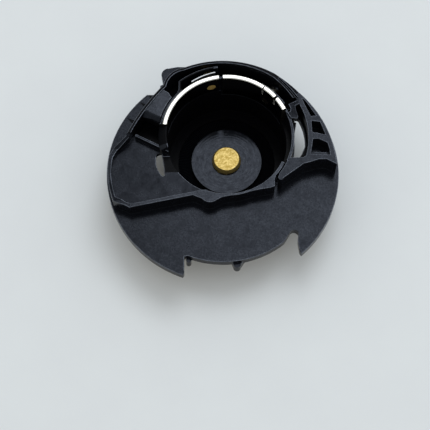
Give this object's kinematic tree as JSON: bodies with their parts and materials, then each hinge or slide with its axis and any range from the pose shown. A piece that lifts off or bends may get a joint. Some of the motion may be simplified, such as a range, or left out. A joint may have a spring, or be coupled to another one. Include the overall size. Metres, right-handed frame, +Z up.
{
  "type": "drop-in bobbin case",
  "caption": "Round flanged holder for a sewing-machine bobbin, with a centre post, polished thread plates, a tension leaf with its adjusting screw, and a bay between front horns.",
  "frame": {"origin": "where the bobbin well's axis meets the flat underside", "axes": "+Z points up out of the well, -Y points to the two front horns, +X to the ladder side"},
  "size_m": [0.0415, 0.0403, 0.0146],
  "materials": {
    "moulded_black": "satin moulded",
    "turned_brass": "fine turned",
    "polished_nickel": "polished",
    "spring_steel": "rolled",
    "screw_brass": "machined",
    "screw_steel": "machined",
    "magnet_nickel": "plated",
    "keeper_steel": "stamped"
  },
  "bodies": {
    "case": {"case_body": "moulded_black", "centre_post": "turned_brass", "holding_magnet": "magnet_nickel", "magnet_keeper": "keeper_steel", "tension_plate": "polished_nickel", "thread_guide_plate": "polished_nickel", "spring_screw": "screw_steel"},
    "tension_screw": {"tension_screw": "screw_brass"},
    "tension_spring": {"tension_spring": "spring_steel"}
  },
  "joints": [
    {"name": "tension_screw_turn", "type": "hinge", "parent": "case", "child": "tension_screw", "pos_m": [-0.00311, 0.01159, 0.0117], "axis": [-0.2588, 0.9659, 0], "range_deg": [-180, 180]},
    {"name": "tension_spring_lift", "type": "hinge", "parent": "case", "child": "tension_spring", "pos_m": [0.00859, 0.00922, 0.0106], "axis": [0, 0, -1], "range_deg": [0, 1], "stiffness_Nm_per_rad": 0.15}
  ]
}
